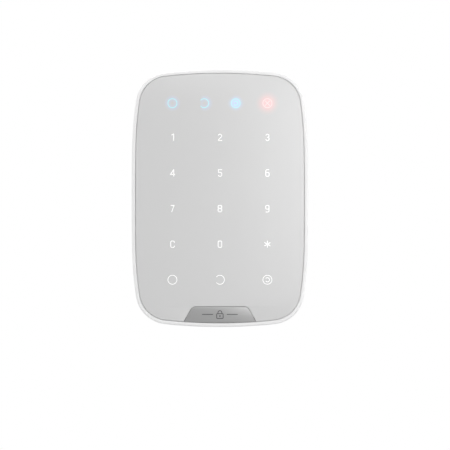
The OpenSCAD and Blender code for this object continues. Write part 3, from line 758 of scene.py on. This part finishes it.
bm = bmesh.new()
case_screws_at = [(side * POST_X, z) for side in (-1, 1) for z in POST_Z]
wall_screws_at = [(sx * SCREW_X, sz * SCREW_Z - MIDDLE) for sx in (-1, 1) for sz in (-1, 1)]
recess = round_rect(0, RECESS_Z, RECESS_W, RECESS_H, 5)
add_plate(bm, outline(COVER_INSET), [recess] + [circle(x, z, WELL_R) for x, z in case_screws_at],
          COVER_BACK - COVER_SKIN, COVER_BACK, 0.05, 0.25)
tub = round_rect(0, RECESS_Z, RECESS_W + 2, RECESS_H + 2, 6)
add_loft(bm, [[place(p, y) for p in loop] for loop, y in (
    (recess, COVER_BACK - 0.6), (recess, FLOOR_FRONT + 0.3), (tub, FLOOR_FRONT + 0.3),
    (tub, COVER_BACK - 0.6))], closed=True)
cups = [round_rect(x, z - LIFT / 2, CUP_W, CUP_W + LIFT, CUP_R) for x, z in wall_screws_at]
hook_slots = [box_loop(sx * HOOK_X - 3.2, sx * HOOK_X + 3.2, z - LIFT - 0.3, z + 1.53)
              for sx in (-1, 1) for z in HOOK_Z]
floor_edge = round_rect(0, RECESS_Z, RECESS_W + 1, RECESS_H + 1, 5.5)
add_plate(bm, floor_edge, cups + hook_slots + [circle(*PLUNGER, 1.35), box_loop(*WINDOW)],
          FLOOR_FRONT, FLOOR_BACK, 0.05, 0.15)
for (x, z), inner in zip(wall_screws_at, cups):
    outer = round_rect(x, z - LIFT / 2, CUP_W + 2 * CUP_WALL, CUP_W + 2 * CUP_WALL + LIFT,
                       CUP_R + CUP_WALL)
    add_loft(bm, [[place(p, y) for p in loop] for loop, y in (
        (outer, FLOOR_FRONT - 2), (outer, FLOOR_FRONT + 0.3), (inner, FLOOR_FRONT + 0.3),
        (inner, FLOOR_FRONT - 1.2))])
for x, z in case_screws_at:
    add_turned(bm, x, z, [(SEAT_R, FLOOR_FRONT), (SEAT_R, COVER_BACK - 0.4),
                          (WELL_R, COVER_BACK - 0.4), (WELL_R, WELL_FLOOR),
                          (SHANK_R, WELL_FLOOR), (SHANK_R, FLOOR_FRONT)], closed=True)
for side in (-1, 1):
    for z in REST_Z:
        add_turned(bm, side * REST_X, z, [(REST_R, REST_END), (REST_R, COVER_BACK - 0.5)])
cover = make_piece("back_cover", bm)
cover.data.materials.append(white_plastic)
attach(cover, "keypad")
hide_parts("rear_cover")


# ---- Label and case screws ----
# A blank film label stuck on the recess floor, and four small black screws with crossed slots that
# pull the rear cover to the housing's posts.
label_film = moulded("label_film", (0.78, 0.78, 0.77), 0.4, shade=0.03)
dress("id_label", label_film)
black_zinc = metal("black_zinc_screw", (0.12, 0.12, 0.12), 0.35, metallic=0.8)
dress("case_screws", black_zinc)


# ---- Wall bracket ----
# White ABS plate that screws to the wall on four bosses. Four hooks hold the keypad, and the
# upper corner behind the tamper switch is perforated so that it breaks off with the wall screw.
PLATE_FRONT, PLATE_BACK = -1.7, -0.7
BOSS_R, DISH_R, HOLE_R = 5.25, 4.1, 2.1
FILLET = 0.3             # at the foot of each boss
TAB_X, TAB_Z, TAB_R = 22.7, 52.5, 3              # inner edges of the breakaway corner
SLIT, TOP_SLIT, SIDE_SLIT, BRIDGE = 0.8, 4, 3, 1.3
HOOK_HALF, HOOK_T, HOOK_RISE = 3, 1.5, 5
HOOK_FRONT, HOOK_LIP_BACK = -3.5, -2.7


def ribbon(points, width):
    """A narrow closed loop along a path, anticlockwise for a path that turns to the left."""
    left, right = [], []
    for i, p in enumerate(points):
        along = (points[min(i + 1, len(points) - 1)] - points[max(i - 1, 0)]).normalized()
        left.append(p + Vector((-along.y, along.x)) * width / 2)
        right.append(p - Vector((-along.y, along.x)) * width / 2)
    return right + left[::-1]


# the slits round the breakaway corner: one open at the side, one open at the top, one bent
plate_right = PLATE_W / 2
plate_top = PLATE_Z + PLATE_H / 2
corner = round_rect(0, PLATE_Z, PLATE_W, PLATE_H, 5)
side_slit = [Vector((plate_right, TAB_Z - SLIT / 2)),
             Vector((plate_right - SIDE_SLIT, TAB_Z - SLIT / 2)),
             Vector((plate_right - SIDE_SLIT, TAB_Z + SLIT / 2)),
             Vector((plate_right, TAB_Z + SLIT / 2))]
top_slit = [Vector((TAB_X + SLIT / 2, plate_top)),
            Vector((TAB_X + SLIT / 2, plate_top - TOP_SLIT)),
            Vector((TAB_X - SLIT / 2, plate_top - TOP_SLIT)),
            Vector((TAB_X - SLIT / 2, plate_top))]
bend = Vector((TAB_X + TAB_R, TAB_Z + TAB_R))
bent_slit = ([Vector((TAB_X, plate_top - TOP_SLIT - BRIDGE))]
             + [bend + TAB_R * heading(180 + 90 * i / 8) for i in range(9)]
             + [Vector((plate_right - SIDE_SLIT - BRIDGE, TAB_Z))])
bm = bmesh.new()
add_plate(bm, side_slit + corner[:9] + top_slit + corner[9:],
          [circle(x, z, BOSS_R - 0.4) for x, z in wall_screws_at] + [ribbon(bent_slit, SLIT)],
          PLATE_FRONT, PLATE_BACK, 0.1, 0.28, 4)
for x, z in wall_screws_at:
    foot = [(BOSS_R + FILLET * (1 - math.sin(math.pi / 8 * i)),
             PLATE_BACK - 0.02 + FILLET * (1 - math.cos(math.pi / 8 * i))) for i in range(5)]
    add_turned(bm, x, z, [(BOSS_R, PLATE_FRONT)] + foot
               + [(BOSS_R - 0.06, -0.08), (BOSS_R - 0.2, 0), (HOLE_R + 0.1, 0), (HOLE_R, -0.1),
                  (HOLE_R, -0.8), (DISH_R, -0.8), (DISH_R, PLATE_FRONT)], closed=True)
for sx in (-1, 1):
    for z in HOOK_Z:
        x0, x1 = sx * HOOK_X - HOOK_HALF, sx * HOOK_X + HOOK_HALF
        add_block(bm, x0, x1, HOOK_FRONT, PLATE_FRONT + 0.3, z, z + HOOK_T)
        add_block(bm, x0, x1, HOOK_FRONT, HOOK_LIP_BACK, z + 0.1, z + HOOK_RISE)
bracket = make_piece("wall_bracket", bm)
bracket.data.materials.append(white_plastic)
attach(bracket, "bracket")
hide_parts("mounting_bracket")


# ---- Floor, light and camera ----
# A pale floor well below the keypad, which hangs as it does on a wall, with soft lamps round it
# and a long lens in front.
GROUND_Z, GROUND_HALF = -0.32, 1.6
bm = bmesh.new()
for x, y in ((-1, -1), (1, -1), (1, 1), (-1, 1)):
    bm.verts.new((x * GROUND_HALF, y * GROUND_HALF, GROUND_Z))
bm.faces.new(bm.verts)
floor = make_piece("floor", bm)
floor_paint = moulded("pale_floor", (0.55, 0.55, 0.55), 0.7, grain=0.004, shade=0.01)
floor.data.materials.append(floor_paint)


def lamp(name, at, size, power):
    """A large soft square lamp aimed at the keypad."""
    data = bpy.data.lights.new(name, "AREA")
    data.shape = "SQUARE"
    data.size = size
    data.energy = power
    light = bpy.data.objects.new(name, data)
    light.location = at
    light.rotation_euler = (-Vector(at)).to_track_quat("-Z", "Y").to_euler()
    bpy.context.scene.collection.objects.link(light)


lamp("key_lamp", (0.2, -0.45, 0.06), 0.2, 0.6)
lamp("front_lamp", (0, -1.15, 0.85), 0.8, 5.5)
lamp("left_lamp", (-1.3, 0.1, 0.55), 0.8, 7)
lamp("right_lamp", (1.3, 0.1, 0.55), 0.8, 8)
lamp("back_lamp", (-0.3, 1.0, 1.0), 0.35, 11)

# an even surround that is darker below; the background itself shows white
world = bpy.data.worlds.new("studio")
world.use_nodes = True
bpy.context.scene.world = world
nodes, links = world.node_tree.nodes, world.node_tree.links
direction = nodes.new("ShaderNodeTexCoord")
parts = nodes.new("ShaderNodeSeparateXYZ")
links.new(direction.outputs["Generated"], parts.inputs[0])
height = maths(world.node_tree, "MULTIPLY_ADD", parts.outputs["Z"], 0.5, 0.5)
dome = nodes.new("ShaderNodeValToRGB")
below, horizon = dome.color_ramp.elements
below.color = (0.08, 0.08, 0.08, 1)
horizon.color = (0.5, 0.5, 0.5, 1)
horizon.position = 0.5
links.new(height, dome.inputs[0])
seen = nodes.new("ShaderNodeLightPath")
shown = colour_mix(world.node_tree, "MIX", dome.outputs["Color"], (1, 1, 1),
                   seen.outputs["Is Camera Ray"])
links.new(shown, nodes["Background"].inputs["Color"])
bpy.context.scene.view_settings.view_transform = "Standard"

VIEW_HEIGHT = 0.26248     # what the picture's height takes in at the keypad
DISTANCE = 2.4
camera_data = bpy.data.cameras.new("camera")
camera_data.sensor_width = 36
camera_data.lens = camera_data.sensor_width * DISTANCE / VIEW_HEIGHT
camera_data.shift_x = 0.0113
camera_data.shift_y = -0.0589
camera_data.clip_end = 20
camera = bpy.data.objects.new("camera", camera_data)
camera.location = (0, FRONT * MM - DISTANCE, MIDDLE * MM)
camera.rotation_euler = (math.pi / 2, 0, 0)
bpy.context.scene.collection.objects.link(camera)
bpy.context.scene.camera = camera
